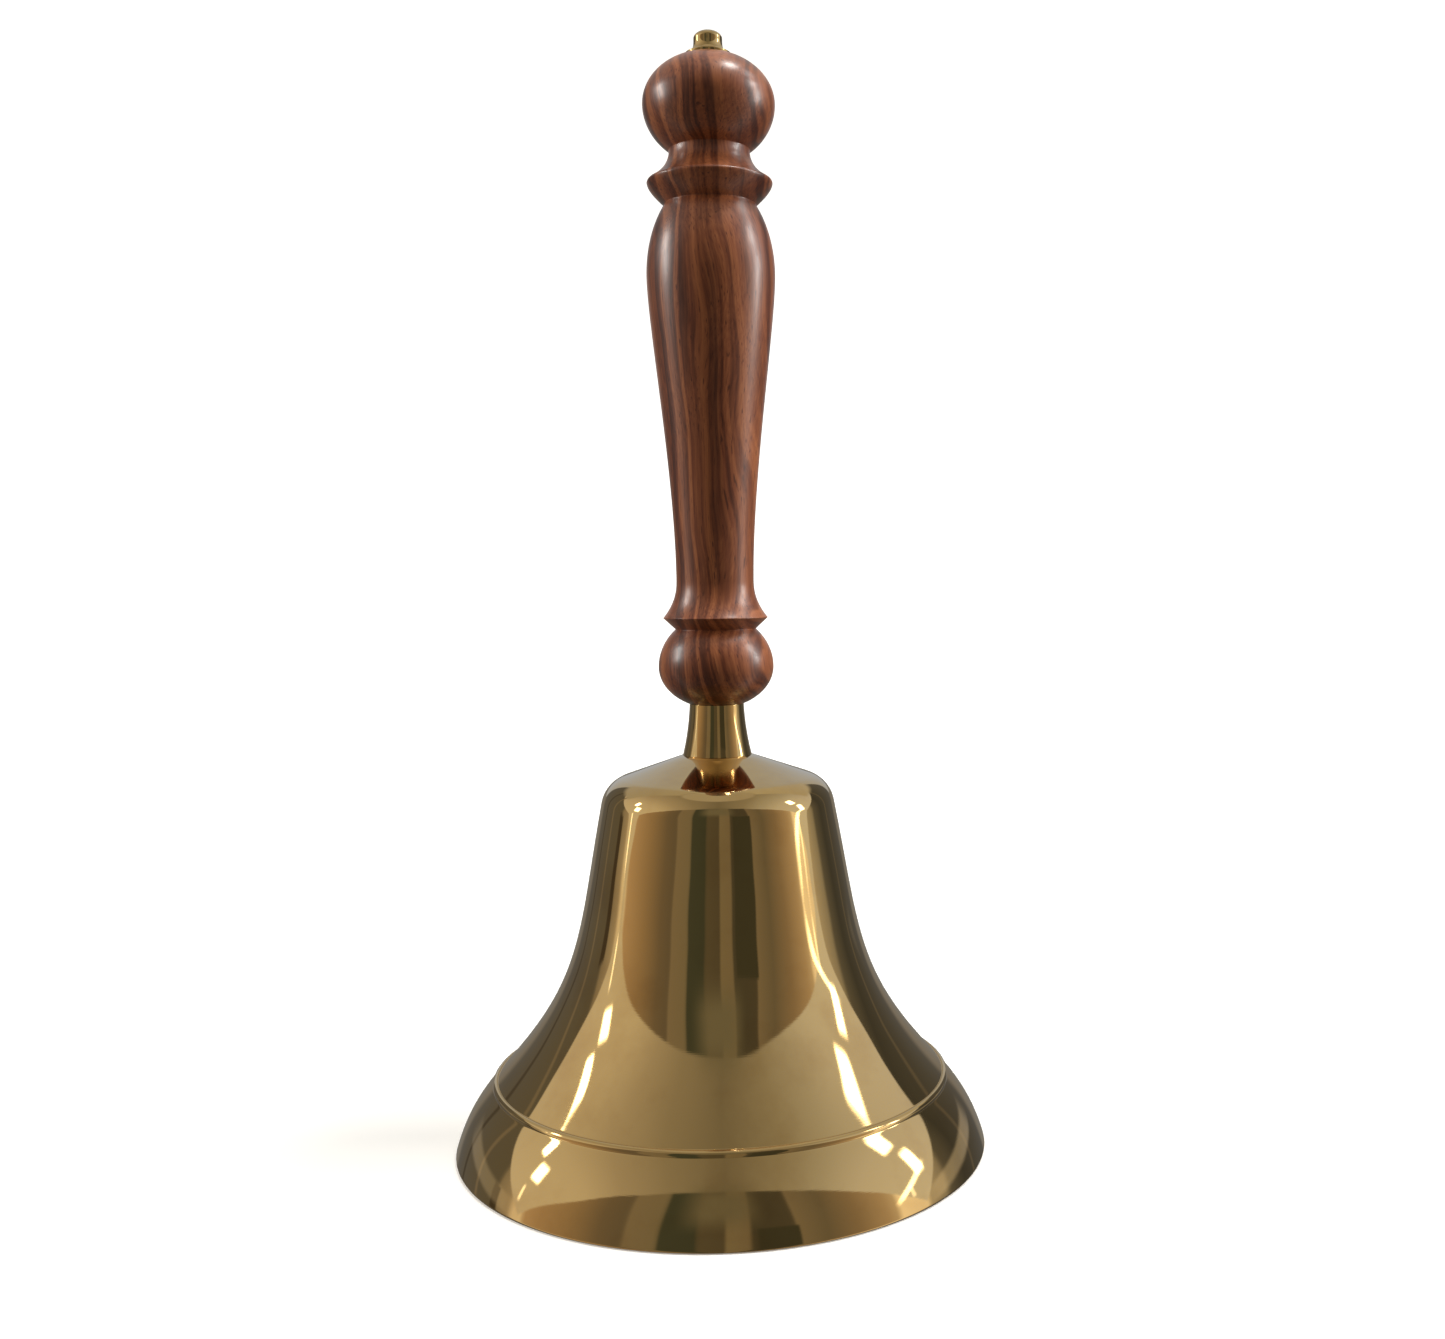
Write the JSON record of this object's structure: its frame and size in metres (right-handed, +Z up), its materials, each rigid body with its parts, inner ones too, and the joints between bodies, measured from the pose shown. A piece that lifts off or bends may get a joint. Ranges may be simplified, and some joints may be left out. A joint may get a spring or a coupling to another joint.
{
  "type": "hand bell",
  "caption": "Turned brass hand bell with a flared mouth, a tapered ferrule, a turned rosewood handle with a brass finial nut, and a ball clapper that swings on a pin inside.",
  "frame": {"origin": "centre of the bell's mouth, in the plane of the rim that it stands on", "axes": "+Z up the axis of the bell and the handle; the clapper swings in the XZ plane about a pin along Y"},
  "size_m": [0.135, 0.135, 0.28],
  "materials": {
    "polished_brass": "mirror polished",
    "turned_brass": "as turned",
    "rosewood": "satin lacquer",
    "steel": "zinc plated",
    "leather": "raw edge"
  },
  "bodies": {
    "bell_and_handle": {"bell": "polished_brass", "ferrule": "polished_brass", "handle": "rosewood", "finial_nut": "polished_brass", "tie_rod": "steel", "leather_washer": "leather", "steel_washer": "steel", "crown_nut": "steel", "clapper_fork": "steel", "clapper_pin": "steel", "split_pin": "steel"},
    "clapper": {"clapper_shank": "steel", "clapper_ball": "turned_brass", "clapper_nut": "turned_brass"}
  },
  "joints": [
    {"name": "clapper_swing", "type": "hinge", "parent": "bell_and_handle", "child": "clapper", "pos_m": [0, 0, 0.0753], "axis": [0, 1, 0], "range_deg": [-32, 32]}
  ]
}
